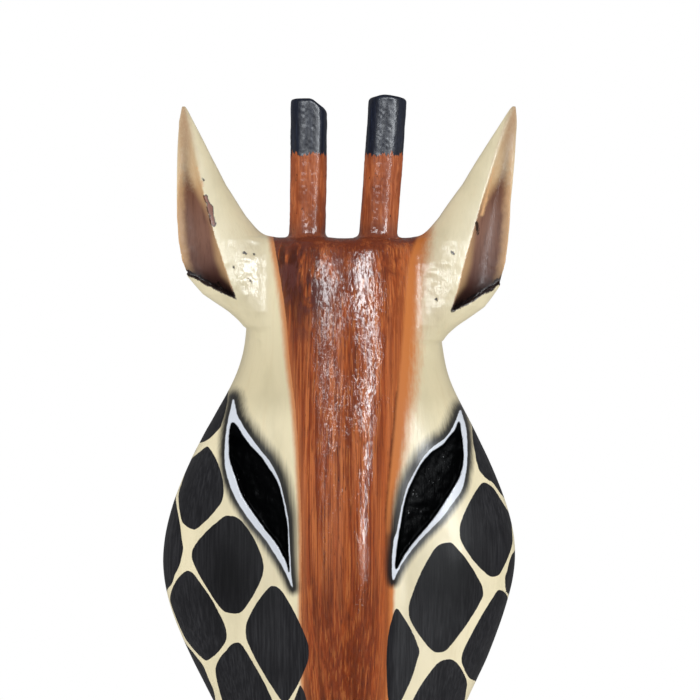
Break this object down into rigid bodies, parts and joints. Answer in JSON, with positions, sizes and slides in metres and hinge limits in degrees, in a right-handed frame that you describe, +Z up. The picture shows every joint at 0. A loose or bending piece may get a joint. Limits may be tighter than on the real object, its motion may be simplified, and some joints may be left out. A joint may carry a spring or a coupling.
{
  "type": "carved giraffe mask",
  "caption": "Tall carved wooden giraffe mask for a wall: flat hollow back, leaf-shaped eyes, scooped ears, straight horns, painted spots and a swinging hanging ring.",
  "frame": {"origin": "where the axis of the wall nail meets the plane of the mask's flat back", "axes": "+Z up along the mask's length, +Y into the wall, +X to the right of a viewer who faces the mask"},
  "size_m": [0.1775, 0.0661, 0.5008],
  "materials": {
    "painted_head": "painted, lacquered, satin to gloss",
    "painted_ear": "painted, lacquered, satin to gloss",
    "painted_horn": "stained and lacquered, gloss",
    "bare_wood": "bare, glue-stained",
    "strap_steel": "zinc plated, dull",
    "ring_steel": "zinc plated wire",
    "screw_brass": "yellow plated"
  },
  "bodies": {
    "mask": {"head_carving": "painted_head", "left_ear": "painted_ear", "right_ear": "painted_ear", "left_horn": "painted_horn", "right_horn": "painted_horn", "left_ear_pin_upper": "bare_wood", "left_ear_pin_lower": "bare_wood", "right_ear_pin_upper": "bare_wood", "right_ear_pin_lower": "bare_wood", "left_horn_dowel": "bare_wood", "right_horn_dowel": "bare_wood", "hanger_strap": "strap_steel", "hanger_screw_upper": "screw_brass", "hanger_screw_lower": "screw_brass"},
    "ring": {"hanger_ring": "ring_steel"}
  },
  "joints": [
    {"name": "ring_swing", "type": "hinge", "parent": "mask", "child": "ring", "pos_m": [0, -0.02, -0.011], "axis": [-1, 0, 0], "range_deg": [0, 170]}
  ]
}
